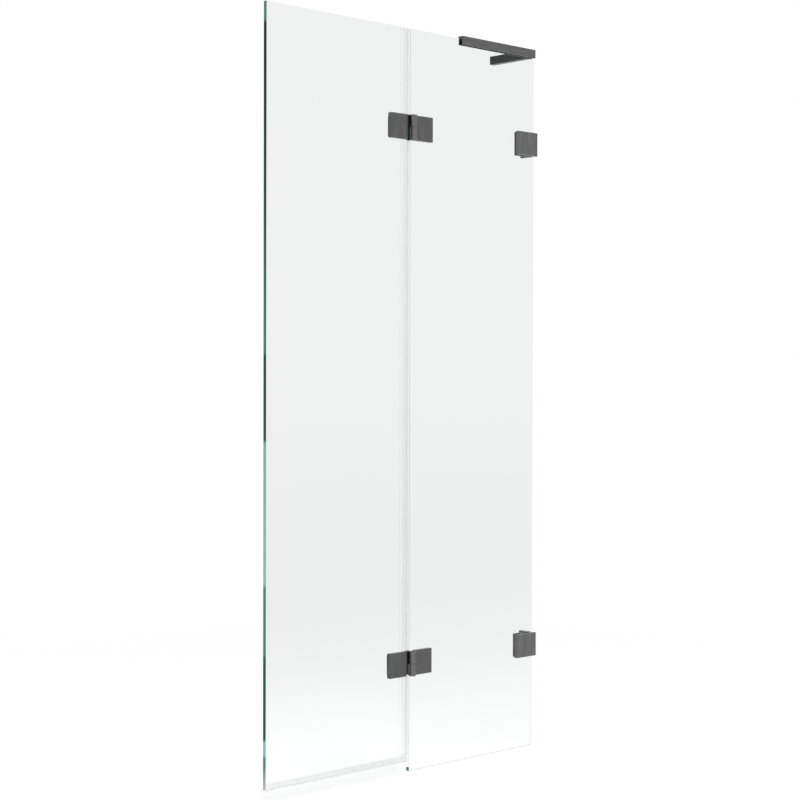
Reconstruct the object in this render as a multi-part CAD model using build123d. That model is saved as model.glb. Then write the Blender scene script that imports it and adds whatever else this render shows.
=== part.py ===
from build123d import *
import math
import os

# Two-panel bath screen in millimetres. The origin is the middle of the fixed pane's foot, which
# stands on the bath rim. +X points at the wall, -Y is the side that the moving pane folds to, and
# +Z is up.

# Panes
screen_height = 1500.0
glass_thick = 8.0
fixed_width = 373.0
moving_width = 369.0
pane_gap = 6.0
wall_gap = 2.0
moving_foot_height = 21.0
glass_arris = 0.3
glass_hole_radius = 7.0

# Fittings that sit on the glass
fitting_height = 50.0
lower_fitting_z = 220.0
upper_fitting_drop = 200.0
gasket_thick = 1.0
plate_thick = 8.5
back_plate_thick = 5.0
back_plate_width = 24.0
back_plate_inset = 5.0
screw_pitch = 26.0
metal_chamfer = 0.5

# Hinges
leaf_width = 46.0
leaf_setback = 12.5
axis_proud = 3.0
knuckle_radius = 7.0
knuckle_gap = 1.0
web_drop = 2.0
web_root = 1.0
fold_clearance = 0.5
pin_radius = 3.0
pin_running_clearance = 0.05
pin_end_play = 0.5
bush_wall = 1.2
bush_flange_radius = 6.4
plug_height = 3.0

# Wall clamps
clamp_plate_width = 60.0
bracket_leg_width = 50.0
bracket_wall_thick = 6.0
bracket_wall_depth = 27.5
bracket_fillet = 2.0
wall_hole_radius = 2.75
wall_hole_pitch = 30.0
wall_head_radius = 5.5

# Screws through the glass
screw_radius = 2.5
screw_head_radius = 5.0
screw_grip = 6.0
screw_tip_play = 0.5
socket_width = 3.0
socket_depth = 1.8
fit_clearance = 0.05
through_clearance = 0.25
sleeve_clearance = 0.2

# Stabiliser
arm_width = 14.5
arm_height = 18.0
channel_arm_length = 226.0
channel_roof = 5.0
liner_thick = 0.5
wall_arm_length = 110.0
wall_arm_width = 13.5
rail_thick = 6.0
rail_height = 10.0
rail_end_cover = 11.0
rail_tip_cover = 5.0
rail_clearance = 0.2
rail_hole_pitch = 60.0
corner_screw_radius = 1.5
corner_screw_head_radius = 2.6
corner_screw_reach = 8.0
corner_screw_pitch = 6.5
set_screw_radius = 2.5
set_screw_inset = 36.0

# Seals
seal_wall = 1.0
seal_clip_clearance = 0.15
hinge_seal_leg = 15.0
seal_bulb_wall = 0.6
seal_contact_clearance = 0.3
seal_trim_clearance = 1.0
foot_clip_leg = 12.0
foot_lip_thick = 1.2
foot_lip_lean = 3.0
foot_lip_height = 5.5

# Places worked out from the sizes above
glass_front = -glass_thick / 2
glass_back = glass_thick / 2
fixed_left = -fixed_width / 2
fixed_right = fixed_width / 2
wall_x = fixed_right + wall_gap
axis_x = fixed_left - pane_gap / 2
moving_right = fixed_left - pane_gap
moving_left = moving_right - moving_width
plate_back = glass_front - gasket_thick
plate_front = plate_back - plate_thick
axis_y = plate_front - axis_proud
behind_front = glass_back + gasket_thick
behind_back = behind_front + back_plate_thick
upper_fitting_z = screen_height - upper_fitting_drop
hole_x_from_axis = leaf_setback + leaf_width / 2
clamp_hole_x = wall_x - clamp_plate_width / 2
slot_half = glass_thick / 2 + liner_thick
arm_top = screen_height + liner_thick + channel_roof
arm_bottom = arm_top - arm_height
FITTINGS = {"lower": lower_fitting_z, "upper": upper_fitting_z}


def block(x_range, y_range, z_range):
    """A box between two places along each axis."""
    lengths = [high - low for low, high in (x_range, y_range, z_range)]
    middles = [(low + high) / 2 for low, high in (x_range, y_range, z_range)]
    return Pos(*middles) * Box(*lengths)


def rod(x, y, z_range, radius):
    """An upright cylinder."""
    low, high = z_range
    return Pos(x, y, (low + high) / 2) * Cylinder(radius, high - low)


def rod_y(x, y_range, z, radius):
    """A cylinder that lies along Y."""
    low, high = y_range
    return Pos(x, (low + high) / 2, z) * Rot(90, 0, 0) * Cylinder(radius, high - low)


def rod_x(x_range, y, z, radius):
    """A cylinder that lies along X."""
    low, high = x_range
    return Pos((low + high) / 2, y, z) * Rot(0, 90, 0) * Cylinder(radius, high - low)


def soften(solid):
    """Breaks the straight edges of a metal piece."""
    return chamfer(solid.edges().filter_by(GeomType.LINE), metal_chamfer)


def screw_heights(z_middle):
    """The two screw levels of a fitting."""
    return (z_middle - screw_pitch / 2, z_middle + screw_pitch / 2)


def band(z_middle, trim=0.0):
    """The levels that a fitting covers, with room left over and under it if trim is given."""
    return (z_middle - fitting_height / 2 - trim, z_middle + fitting_height / 2 + trim)


def pane(x_range, z_range, holes):
    """A glass pane with arrised edges and a hole for each sleeve, holes as (x, z) pairs."""
    sheet = block(x_range, (glass_front, glass_back), z_range)
    long_edges = sheet.edges().filter_by(Axis.Y, reverse=True)
    sheet = chamfer(long_edges, glass_arris)
    for x, z in holes:
        sheet -= rod_y(x, (glass_front, glass_back), z, glass_hole_radius)
    return sheet


def fixed_glass():
    """The pane that stands on the rim beside the wall."""
    holes = []
    for z_middle in FITTINGS.values():
        for z in screw_heights(z_middle):
            holes.append((axis_x + hole_x_from_axis, z))
            holes.append((clamp_hole_x, z))
    return pane((fixed_left, fixed_right), (0, screen_height), holes)


def moving_glass():
    """The pane that swings on the hinges, clear of the rim."""
    holes = []
    for z_middle in FITTINGS.values():
        for z in screw_heights(z_middle):
            holes.append((axis_x - hole_x_from_axis, z))
    return pane((moving_left, moving_right), (moving_foot_height, screen_height), holes)


def leaf(side, z_middle, knuckle_range):
    """A hinge leaf with its web and half of the barrel. Side is -1 for moving, 1 for fixed."""
    low, high = band(z_middle)
    near = axis_x + side * leaf_setback
    far = near + side * leaf_width
    body = block(sorted((near, far)), (plate_front, plate_back), (low, high))
    body = soften(body)
    corner_reach = math.hypot(pane_gap / 2, glass_front - axis_y) - fold_clearance
    web_reach = math.sqrt(corner_reach**2 - (plate_back - axis_y) ** 2)
    web_x = sorted((near + side * web_root, axis_x - side * web_reach))
    body += block(web_x, (plate_front + web_drop, plate_back), knuckle_range)
    body += rod(axis_x, axis_y, knuckle_range, knuckle_radius)
    for z in screw_heights(z_middle):
        hole_y = (plate_back - screw_grip - screw_tip_play, plate_back)
        body -= rod_y(axis_x + side * hole_x_from_axis, hole_y, z, screw_radius + fit_clearance)
    return body


def upper_knuckle(z_middle):
    """Levels of the moving half of the barrel."""
    return (z_middle + knuckle_gap / 2, band(z_middle)[1])


def lower_knuckle(z_middle):
    """Levels of the fixed half of the barrel."""
    return (band(z_middle)[0], z_middle - knuckle_gap / 2)


def bush_radius():
    """Outside of the bush, and of the plugs that close the barrel."""
    return pin_radius + pin_running_clearance + bush_wall


def moving_leaf(z_middle):
    """The leaf on the moving pane, bored for the bush and the top plug."""
    low, high = upper_knuckle(z_middle)
    bore = rod(axis_x, axis_y, (low, high), bush_radius() + fit_clearance)
    return leaf(-1, z_middle, (low, high)) - bore


def fixed_leaf(z_middle):
    """The leaf on the fixed pane, which holds the pin and the bottom plug."""
    low, high = lower_knuckle(z_middle)
    pin_bore = rod(axis_x, axis_y, (low, high), pin_radius + fit_clearance)
    plug_bore = rod(axis_x, axis_y, (low, low + plug_height), bush_radius() + fit_clearance)
    return leaf(1, z_middle, (low, high)) - pin_bore - plug_bore


def knuckle_bush(z_middle):
    """A polymer bush with a flange that carries the moving knuckle on the fixed one."""
    low, high = upper_knuckle(z_middle)
    bush = rod(axis_x, axis_y, (low, high - plug_height), bush_radius())
    bush += rod(axis_x, axis_y, (low - knuckle_gap, low), bush_flange_radius)
    bore = (low - knuckle_gap, high - plug_height)
    return bush - rod(axis_x, axis_y, bore, pin_radius + pin_running_clearance)


def hinge_pin(z_middle):
    """The steel pin, seated in the fixed knuckle."""
    low, high = band(z_middle)
    return rod(axis_x, axis_y, (low + plug_height, high - plug_height - pin_end_play), pin_radius)


def top_plug(z_middle):
    """Closes the barrel above the pin."""
    high = band(z_middle)[1]
    return rod(axis_x, axis_y, (high - plug_height, high), bush_radius())


def bottom_plug(z_middle):
    """Closes the barrel below the pin."""
    low = band(z_middle)[0]
    return rod(axis_x, axis_y, (low, low + plug_height), bush_radius())


def drilled(solid, x, z_middle, radius):
    """Drills a fitting's two screw holes right through along Y."""
    for z in screw_heights(z_middle):
        solid -= rod_y(x, (solid.bounding_box().min.Y, solid.bounding_box().max.Y), z, radius)
    return solid


def countersunk(solid, x, z_middle, face_y):
    """Drills two screw holes with countersinks in the face at face_y, which looks along +Y."""
    head_depth = screw_head_radius - screw_radius
    hole = screw_radius + through_clearance
    solid = drilled(solid, x, z_middle, hole)
    for z in screw_heights(z_middle):
        cone = Cone(hole, screw_head_radius + through_clearance, head_depth)
        solid -= Pos(x, face_y - head_depth / 2, z) * Rot(-90, 0, 0) * cone
    return solid


def leaf_span(side):
    """X range of a hinge leaf's flat part."""
    near = axis_x + side * leaf_setback
    return sorted((near, near + side * leaf_width))


def back_plate(side, z_middle):
    """The plate behind the glass that a hinge leaf is screwed to."""
    x = axis_x + side * hole_x_from_axis
    x_range = (x - back_plate_width / 2, x + back_plate_width / 2)
    z_range = band(z_middle, -back_plate_inset)
    plate = soften(block(x_range, (behind_front, behind_back), z_range))
    return countersunk(plate, x, z_middle, behind_back)


def hinge_gaskets(side, z_middle):
    """Thin pads under a leaf and under its back plate."""
    x = axis_x + side * hole_x_from_axis
    hole = screw_radius + through_clearance
    x_low, x_high = leaf_span(side)
    z_low, z_high = band(z_middle)
    edge = metal_chamfer
    front = block(
        (x_low + edge, x_high - edge), (plate_back, glass_front), (z_low + edge, z_high - edge)
    )
    inset = back_plate_inset + edge
    half = back_plate_width / 2 - edge
    rear = block(
        (x - half, x + half), (glass_back, behind_front), (z_low + inset, z_high - inset)
    )
    return Compound([drilled(front, x, z_middle, hole), drilled(rear, x, z_middle, hole)])


def sleeves(x, z_middle):
    """Plastic sleeves that keep the screws off the glass."""
    pair = []
    for z in screw_heights(z_middle):
        sleeve = rod_y(x, (glass_front, glass_back), z, glass_hole_radius - sleeve_clearance)
        bore = rod_y(x, (glass_front, glass_back), z, screw_radius + through_clearance)
        pair.append(sleeve - bore)
    return Compound(pair)


def glass_screw(x, z):
    """A countersunk socket screw driven from behind the glass into a front plate."""
    head_depth = screw_head_radius - screw_radius
    tip = plate_back - screw_grip
    body = rod_y(x, (tip, behind_back - head_depth), z, screw_radius)
    head = Pos(x, behind_back - head_depth / 2, z) * Rot(-90, 0, 0)
    body += head * Cone(screw_radius, screw_head_radius, head_depth)
    socket = RegularPolygon(socket_width / math.sqrt(3), 6)
    start = Pos(x, behind_back, z) * Rot(90, 0, 0)
    return body - extrude(start * socket, socket_depth)


def glass_screws(x, z_middle):
    """The two screws of one plate."""
    return Compound([glass_screw(x, z) for z in screw_heights(z_middle)])


def clamp_plate(z_middle):
    """The square plate in front of the fixed glass at the wall."""
    x_range = (wall_x - clamp_plate_width, wall_x)
    plate = soften(block(x_range, (plate_front, plate_back), band(z_middle)))
    for z in screw_heights(z_middle):
        hole_y = (plate_back - screw_grip - screw_tip_play, plate_back)
        plate -= rod_y(clamp_hole_x, hole_y, z, screw_radius + fit_clearance)
    return plate


def wall_bracket(z_middle):
    """The angle behind the glass: one leg on the glass and one on the wall, drilled for both."""
    low, high = band(z_middle)
    wall_side = wall_x - bracket_wall_thick
    tip_y = behind_front + bracket_wall_depth
    glass_leg = block((wall_x - bracket_leg_width, wall_x), (behind_front, behind_back), (low, high))
    wall_leg = block((wall_side, wall_x), (behind_front, tip_y), (low, high))
    angle = glass_leg + wall_leg
    inner_corner = Vertex(wall_side, behind_back, z_middle)
    inner = angle.edges().filter_by(Axis.Z).sort_by_distance(inner_corner)[0]
    angle = fillet(inner, bracket_fillet)
    ends = angle.edges().filter_by(Axis.Z).sort_by(Axis.Y)[-2:]
    angle = chamfer(ends, metal_chamfer)
    angle = countersunk(angle, clamp_hole_x, z_middle, behind_back)
    hole_y = wall_hole_y()
    head_depth = wall_head_radius - wall_hole_radius
    for z in (z_middle - wall_hole_pitch / 2, z_middle + wall_hole_pitch / 2):
        angle -= rod_x((wall_side, wall_x), hole_y, z, wall_hole_radius)
        cone = Cone(wall_head_radius, wall_hole_radius, head_depth)
        angle -= Pos(wall_side + head_depth / 2, hole_y, z) * Rot(0, 90, 0) * cone
    return angle


def wall_hole_y():
    """Middle of the wall leg's free part, clear of the leg on the glass."""
    return (behind_back + behind_front + bracket_wall_depth) / 2


def clamp_gaskets(z_middle):
    """Thin pads under a clamp plate and under its bracket."""
    hole = screw_radius + through_clearance
    z_low, z_high = band(z_middle)
    z_range = (z_low + metal_chamfer, z_high - metal_chamfer)
    front_x = (wall_x - clamp_plate_width + metal_chamfer, fixed_right)
    rear_x = (wall_x - bracket_leg_width + metal_chamfer, fixed_right)
    front = block(front_x, (plate_back, glass_front), z_range)
    rear = block(rear_x, (glass_back, behind_front), z_range)
    return Compound(
        [drilled(front, clamp_hole_x, z_middle, hole), drilled(rear, clamp_hole_x, z_middle, hole)]
    )


def corner_screw_places():
    """X of the two corner screws, at the middle of the wall arm's end."""
    middle = wall_x - wall_arm_width / 2
    return (middle - corner_screw_pitch / 2, middle + corner_screw_pitch / 2)


def corner_screw_z():
    """Level of the corner screws, at mid-depth of the glass channel."""
    return (arm_bottom + screen_height) / 2


def set_screw_places():
    """X of the two set screws that hold the glass in the channel."""
    return (wall_x - channel_arm_length + set_screw_inset, wall_x - 2 * set_screw_inset)


def channel_arm():
    """The arm along the glass: a channel, open below, over the fixed pane's top edge."""
    x_range = (wall_x - channel_arm_length, wall_x)
    half = arm_width / 2
    arm = soften(block(x_range, (-half, half), (arm_bottom, arm_top)))
    arm -= block(x_range, (-slot_half, slot_half), (arm_bottom, screen_height + liner_thick))
    head_depth = corner_screw_head_radius - corner_screw_radius
    hole = corner_screw_radius + fit_clearance
    for x in corner_screw_places():
        arm -= rod_y(x, (slot_half, half), corner_screw_z(), hole)
        cone = Cone(corner_screw_head_radius + fit_clearance, hole, head_depth)
        arm -= Pos(x, slot_half + head_depth / 2, corner_screw_z()) * Rot(-90, 0, 0) * cone
    for x in set_screw_places():
        arm -= rod_y(x, (slot_half, half), corner_screw_z(), set_screw_radius + fit_clearance)
    return arm


def channel_liner():
    """The rubber strip folded over the glass inside the channel."""
    x_range = (wall_x - channel_arm_length, fixed_right)
    outer = block(x_range, (-slot_half, slot_half), (arm_bottom, screen_height + liner_thick))
    arris_room = block(x_range, (glass_front, glass_back), (arm_bottom, screen_height))
    return outer - arris_room


def rail_space(clearance):
    """Y and Z ranges of the wall rail, or of the pocket around it."""
    y_range = (
        arm_width / 2 + rail_end_cover - clearance,
        arm_width / 2 + wall_arm_length - rail_tip_cover + clearance,
    )
    z_middle = (arm_bottom + arm_top) / 2
    z_range = (z_middle - rail_height / 2 - clearance, z_middle + rail_height / 2 + clearance)
    return y_range, z_range


def wall_rail():
    """The flat rail that is screwed to the wall inside the wall arm."""
    y_range, z_range = rail_space(0.0)
    x_range = (wall_x - rail_thick, wall_x)
    rail = block(x_range, y_range, z_range)
    y_middle = sum(y_range) / 2
    z_middle = sum(z_range) / 2
    head_depth = rail_height / 2 - wall_hole_radius - metal_chamfer
    for y in (y_middle - rail_hole_pitch / 2, y_middle + rail_hole_pitch / 2):
        rail -= rod_x(x_range, y, z_middle, wall_hole_radius)
        cone = Cone(wall_hole_radius + head_depth, wall_hole_radius, head_depth)
        rail -= Pos(x_range[0] + head_depth / 2, y, z_middle) * Rot(0, 90, 0) * cone
    return rail


def rail_set_screw_places():
    """Y of the two set screws under the wall arm."""
    low, high = rail_space(0.0)[0]
    quarter = (high - low) / 4
    return (low + quarter, high - quarter)


def wall_arm():
    """The arm that lies along the wall, with a pocket for the rail in its wall side."""
    half = arm_width / 2
    x_range = (wall_x - wall_arm_width, wall_x)
    arm = soften(block(x_range, (half, half + wall_arm_length), (arm_bottom, arm_top)))
    y_range, z_range = rail_space(rail_clearance)
    arm -= block((wall_x - rail_thick - rail_clearance, wall_x), y_range, z_range)
    for x in corner_screw_places():
        reach = (half, half + corner_screw_reach + screw_tip_play)
        arm -= rod_y(x, reach, corner_screw_z(), corner_screw_radius + fit_clearance)
    for y in rail_set_screw_places():
        shaft = (arm_bottom, z_range[0])
        arm -= rod(wall_x - rail_thick / 2, y, shaft, set_screw_radius + fit_clearance)
    return arm


def corner_screws():
    """Two countersunk screws from inside the channel into the end of the wall arm."""
    head_depth = corner_screw_head_radius - corner_screw_radius
    z = corner_screw_z()
    pair = []
    for x in corner_screw_places():
        y_range = (slot_half + head_depth, arm_width / 2 + corner_screw_reach)
        cone = Cone(corner_screw_head_radius, corner_screw_radius, head_depth)
        head = Pos(x, slot_half + head_depth / 2, z) * Rot(-90, 0, 0) * cone
        pair.append(rod_y(x, y_range, z, corner_screw_radius) + head)
    return Compound(pair)


def glass_set_screws():
    """Two socket set screws that press the liner on the glass from behind."""
    pair = []
    half = arm_width / 2
    for x in set_screw_places():
        screw = rod_y(x, (slot_half, half), corner_screw_z(), set_screw_radius)
        socket = RegularPolygon(socket_width / math.sqrt(3), 6)
        start = Pos(x, half, corner_screw_z()) * Rot(90, 0, 0)
        pair.append(screw - extrude(start * socket, socket_depth))
    return Compound(pair)


def rail_set_screws():
    """Two socket set screws from below that lock the wall arm to its rail."""
    pair = []
    seat = rail_space(0.0)[1][0]
    for y in rail_set_screw_places():
        screw = rod(wall_x - rail_thick / 2, y, (arm_bottom, seat), set_screw_radius)
        socket = RegularPolygon(socket_width / math.sqrt(3), 6)
        start = Pos(wall_x - rail_thick / 2, y, arm_bottom)
        pair.append(screw - extrude(start * socket, socket_depth))
    return Compound(pair)


def hinge_seal(z_range):
    """A length of clear clip on the moving pane's hinge edge, with a bulb for the fixed pane."""
    inner = glass_thick / 2 + seal_clip_clearance
    outer = inner + seal_wall
    back = moving_right + seal_wall
    bulb_radius = (pane_gap - seal_wall - seal_contact_clearance + seal_bulb_wall) / 2
    clip = block((moving_right - hinge_seal_leg, back), (-outer, outer), z_range)
    bulb_x = fixed_left - seal_contact_clearance - bulb_radius
    clip += rod(bulb_x, 0, z_range, bulb_radius)
    clip -= block((moving_right - hinge_seal_leg, moving_right), (-inner, inner), z_range)
    bore = rod(bulb_x, 0, z_range, bulb_radius - seal_bulb_wall)
    return clip - bore


def hinge_seal_spans():
    """Levels of the three lengths, trimmed around the hinges and over the foot clip."""
    cuts = [moving_foot_height + foot_clip_leg + seal_contact_clearance]
    for z_middle in FITTINGS.values():
        cuts.extend(band(z_middle, seal_trim_clearance))
    cuts.append(screen_height)
    return {"lower": (cuts[0], cuts[1]), "middle": (cuts[2], cuts[3]), "upper": (cuts[4], cuts[5])}


def foot_seal():
    """The clear clip on the moving pane's foot, with the lip that sheds water below it."""
    inner = glass_thick / 2 + seal_clip_clearance
    outer = inner + seal_wall
    floor = moving_foot_height - seal_wall
    top = moving_foot_height + foot_clip_leg
    half = foot_lip_thick / 2
    clip = Polygon(
        (-outer, floor),
        (outer, floor),
        (outer, top),
        (inner, top),
        (inner, moving_foot_height),
        (-inner, moving_foot_height),
        (-inner, top),
        (-outer, top),
        align=None,
    )
    lip = Polygon(
        (foot_lip_lean - half, foot_lip_height),
        (foot_lip_lean + half, foot_lip_height),
        (half, moving_foot_height),
        (-half, moving_foot_height),
        align=None,
    )
    profile = Plane.YZ.offset(moving_left) * (clip + lip)
    return extrude(profile, moving_width)


def node_shapes():
    """Every node of the screen by name."""
    nodes = {"fixed_glass": fixed_glass(), "moving_glass": moving_glass()}
    nodes["foot_seal"] = foot_seal()
    for name, z_range in hinge_seal_spans().items():
        nodes[f"hinge_seal_{name}"] = hinge_seal(z_range)
    for place, z in FITTINGS.items():
        nodes[f"{place}_hinge_moving_leaf"] = moving_leaf(z)
        nodes[f"{place}_hinge_fixed_leaf"] = fixed_leaf(z)
        nodes[f"{place}_hinge_bush"] = knuckle_bush(z)
        nodes[f"{place}_hinge_pin"] = hinge_pin(z)
        nodes[f"{place}_hinge_top_plug"] = top_plug(z)
        nodes[f"{place}_hinge_bottom_plug"] = bottom_plug(z)
        for side, body in ((-1, "moving"), (1, "fixed")):
            hole_x = axis_x + side * hole_x_from_axis
            nodes[f"{place}_hinge_{body}_back_plate"] = back_plate(side, z)
            nodes[f"{place}_hinge_{body}_gaskets"] = hinge_gaskets(side, z)
            nodes[f"{place}_hinge_{body}_sleeves"] = sleeves(hole_x, z)
            nodes[f"{place}_hinge_{body}_screws"] = glass_screws(hole_x, z)
        nodes[f"{place}_clamp_plate"] = clamp_plate(z)
        nodes[f"{place}_wall_bracket"] = wall_bracket(z)
        nodes[f"{place}_clamp_gaskets"] = clamp_gaskets(z)
        nodes[f"{place}_clamp_sleeves"] = sleeves(clamp_hole_x, z)
        nodes[f"{place}_clamp_screws"] = glass_screws(clamp_hole_x, z)
    nodes["stabiliser_channel_arm"] = channel_arm()
    nodes["stabiliser_channel_liner"] = channel_liner()
    nodes["stabiliser_glass_set_screws"] = glass_set_screws()
    nodes["stabiliser_wall_arm"] = wall_arm()
    nodes["stabiliser_corner_screws"] = corner_screws()
    nodes["stabiliser_wall_rail"] = wall_rail()
    nodes["stabiliser_rail_set_screws"] = rail_set_screws()
    return nodes


os.makedirs("parts", exist_ok=True)
for name, shape in node_shapes().items():
    export_step(shape, f"parts/{name}.step")
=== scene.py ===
import math

import bpy
from bpy.props import FloatProperty, FloatVectorProperty, PointerProperty
from mathutils import Matrix, Vector


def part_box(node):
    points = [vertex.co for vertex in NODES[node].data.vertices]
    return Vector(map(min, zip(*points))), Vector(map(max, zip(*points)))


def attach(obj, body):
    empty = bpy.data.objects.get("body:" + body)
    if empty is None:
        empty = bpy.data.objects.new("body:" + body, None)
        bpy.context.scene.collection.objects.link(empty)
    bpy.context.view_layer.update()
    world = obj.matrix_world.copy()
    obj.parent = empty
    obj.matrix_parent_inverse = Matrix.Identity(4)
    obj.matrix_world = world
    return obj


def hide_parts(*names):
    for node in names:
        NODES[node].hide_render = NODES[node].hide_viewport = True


bl_info = {
    "name": "Bath screen looks",
    "version": (1, 0, 0),
    "blender": (4, 5, 0),
    "location": "3D View > Sidebar > Bath screen",
    "description": "Glass, metal fittings, seals and stage for a two-panel bath screen",
    "category": "Object",
}

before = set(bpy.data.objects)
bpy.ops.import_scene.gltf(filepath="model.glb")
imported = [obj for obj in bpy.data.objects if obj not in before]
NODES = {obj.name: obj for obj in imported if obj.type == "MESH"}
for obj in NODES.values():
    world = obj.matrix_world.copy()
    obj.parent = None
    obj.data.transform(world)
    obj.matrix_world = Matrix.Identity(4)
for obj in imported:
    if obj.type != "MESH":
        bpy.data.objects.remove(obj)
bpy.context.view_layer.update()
FIXED = "fixed_side"
MOVING = "moving_panel"
PLACES = ("lower", "upper")
ALONG_GLASS, ALONG_WALL, UPRIGHT = 0, 1, 2
FITTING_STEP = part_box("upper_clamp_plate")[0].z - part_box("lower_clamp_plate")[0].z

# Small lengths in metres

# How far a cutter reaches past what it cuts, and how far two joined solids overlap
REACH = 0.01
OVERLAP = 0.001
# Free space round a loose piece, a close-fitting one and a pane in its seal
FREE_FIT = 0.0002
CLOSE_FIT = 0.00005
SEAL_FIT = 0.0001
# How far apart two places may be and still count as the same height, corner or barrel face
SAME_PLACE = 1e-6
CORNER_REACH = 1e-5
MARK_REACH = 0.0003
# Fixed sizes of the brackets, the plugs, the foot seal's lip and the stage
BRACKET_FILLET = 0.002
WALL_SINK_DEPTH = 0.00275
WALL_SINK_RADIUS = 0.0057
PLUG_DISH = 0.0006
LIP_LEAN = 0.003
FLOOR_DROP = 0.0005

# Grain of the materials, in spots per metre

EVEN = (1.0, 1.0, 1.0)
EDGE_GRAIN = 60.0
ARRIS_GRAIN = 1200.0
PLASTIC_GRAIN = 1500.0
STEEL_GRAIN = 900.0

# Light

WHITE = (1.0, 1.0, 1.0)
KEY_PLACE, KEY_SIZE = (0.6, -2.6, 4.4), 2.6
FILL_PLACE, FILL_SIZE = (-3.2, 0.6, 3.4), 2.4
LAMP_TARGET = (0.0, 0.0, 0.8)


# Settings


def colour_setting(name, description, default):
    """A colour that a user can change."""
    return FloatVectorProperty(
        name=name, description=description, default=default, subtype="COLOR", min=0.0, max=1.0
    )


def length_setting(name, description, default, low, high):
    """A length that a user can change."""
    return FloatProperty(
        name=name, description=description, default=default, unit="LENGTH", min=low, max=high
    )


def number_setting(name, description, default, low, high):
    """A plain number that a user can change."""
    return FloatProperty(name=name, description=description, default=default, min=low, max=high)


def angle_setting(name, description, default):
    """An angle that a user can change."""
    return FloatProperty(name=name, description=description, default=default, subtype="ANGLE")


def power_setting(name, description, default):
    """A lamp's power that a user can change."""
    return FloatProperty(name=name, description=description, default=default, unit="POWER", min=0.0)


class GlassSettings(bpy.types.PropertyGroup):
    """Colours and edge sizes of the two panes."""

    tint: colour_setting("Tint", "What a pane lets through, as a colour", (0.868, 0.884, 0.876))
    # Painted light: the lighter tint near the foot stands in for light; the glass is no clearer
    # there.
    foot_painted_light_tint: colour_setting(
        "Foot tint", "The clearer tint near the foot of the panes", (0.950, 0.966, 0.958)
    )
    edge_deep: colour_setting(
        "Deep edge green", "Darkest green of the polished edges", (0.010, 0.030, 0.022)
    )
    edge_foot: colour_setting(
        "Edge at the foot", "Colour that the moving pane's left edge fades to behind the foot seal",
        (0.46, 0.468, 0.465),
    )
    # Painted reflections: the dim, middle and pale greens below colour the bands that stand in for
    # light in the edge.
    edge_dark_reflection: colour_setting(
        "Dim edge green", "Dark green of the lower bands of the polished edges",
        (0.024, 0.074, 0.055),
    )
    edge_mid: colour_setting(
        "Middle edge green", "Middle green of the polished edges", (0.076, 0.205, 0.165)
    )
    edge_bright_reflection: colour_setting(
        "Pale edge green", "Lightest green of the polished edges", (0.215, 0.50, 0.425)
    )
    ground: colour_setting(
        "Ground arris", "Colour of the fine ground bevel round each pane", (0.80, 0.86, 0.84)
    )
    ior: number_setting("IOR", "How strongly the glass bends and mirrors light", 1.12, 1.0, 2.0)
    arris: length_setting(
        "Arris", "Width of the ground bevel round each pane", 0.0003, 0.0001, 0.002
    )


class MetalSettings(bpy.types.PropertyGroup):
    """Colour and brushing of the gunmetal fittings."""

    colour: colour_setting("Gunmetal", "Mean colour of the brushed gunmetal", (0.116, 0.116, 0.117))
    steel: colour_setting("Steel", "Colour of the plain screws and pins", (0.46, 0.46, 0.47))
    roughness: number_setting("Roughness", "Mean roughness of the gunmetal", 0.36, 0.05, 1.0)
    brush_contrast: number_setting(
        "Brush contrast", "How far the brushed lines depart from the mean colour", 0.22, 0.0, 1.0
    )
    line_width: length_setting("Brush line width", "Width of a brushed line", 0.0008, 0.0001, 0.01)
    line_length: length_setting("Brush line length", "Length of a brushed line", 0.05, 0.001, 0.5)
    streak_contrast: number_setting(
        "Streak contrast", "How far the broad streaks depart from the mean colour", 0.3, 0.0, 1.0
    )
    streak_width: length_setting("Streak width", "Width of a broad streak", 0.004, 0.001, 0.05)
    streak_length: length_setting("Streak length", "Length of a broad streak", 0.04, 0.001, 0.5)
    edge_round: length_setting(
        "Edge rounding", "Radius of the broken edges of the metal pieces", 0.0005, 0.0001, 0.002
    )


class FittingSettings(bpy.types.PropertyGroup):
    """Sizes of the hinges, clamps, stabiliser and seals."""

    leaf_width: length_setting(
        "Leaf width", "Width of a hinge leaf, without its web and barrel", 0.046, 0.01, 0.1
    )
    plate_thick: length_setting(
        "Plate thickness", "Thickness of the hinge leaves", 0.0085, 0.002, 0.02
    )
    knuckle_radius: length_setting(
        "Barrel radius", "Outside radius of a hinge barrel", 0.007, 0.003, 0.02
    )
    web_drop: length_setting(
        "Web drop", "How far the web stands back from a leaf's face", 0.002, 0.0, 0.006
    )
    hole_radius: length_setting(
        "Screw hole radius", "Radius of the holes for the screws through the glass",
        0.00275, 0.001, 0.01,
    )
    sink_radius: length_setting(
        "Countersink radius", "Radius of the countersinks on the back plates and brackets",
        0.00525, 0.002, 0.01,
    )
    screw_pitch: length_setting(
        "Screw pitch", "Distance between the two screws of a plate", 0.026, 0.01, 0.05
    )
    leg_thick: length_setting(
        "Bracket glass leg", "Thickness of the bracket leg that lies on the glass",
        0.005, 0.002, 0.02,
    )
    wall_leg_thick: length_setting(
        "Bracket wall leg", "Thickness of the bracket leg that lies on the wall", 0.006, 0.002, 0.02
    )
    wall_hole_pitch: length_setting(
        "Wall hole pitch", "Distance between a bracket's two wall holes", 0.030, 0.01, 0.05
    )
    slot_width: length_setting(
        "Channel slot", "Width of the slot in the arm over the glass", 0.009, 0.004, 0.02
    )
    seal_wall: length_setting(
        "Seal wall", "Wall thickness of the clear seals", 0.001, 0.0003, 0.003
    )
    bulb_wall: length_setting(
        "Bulb wall", "Wall thickness of the soft bulb on the hinge seal", 0.0006, 0.0003, 0.003
    )
    lip_thick: length_setting(
        "Lip thickness", "Thickness of the lip under the foot seal", 0.0012, 0.0005, 0.003
    )


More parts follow.
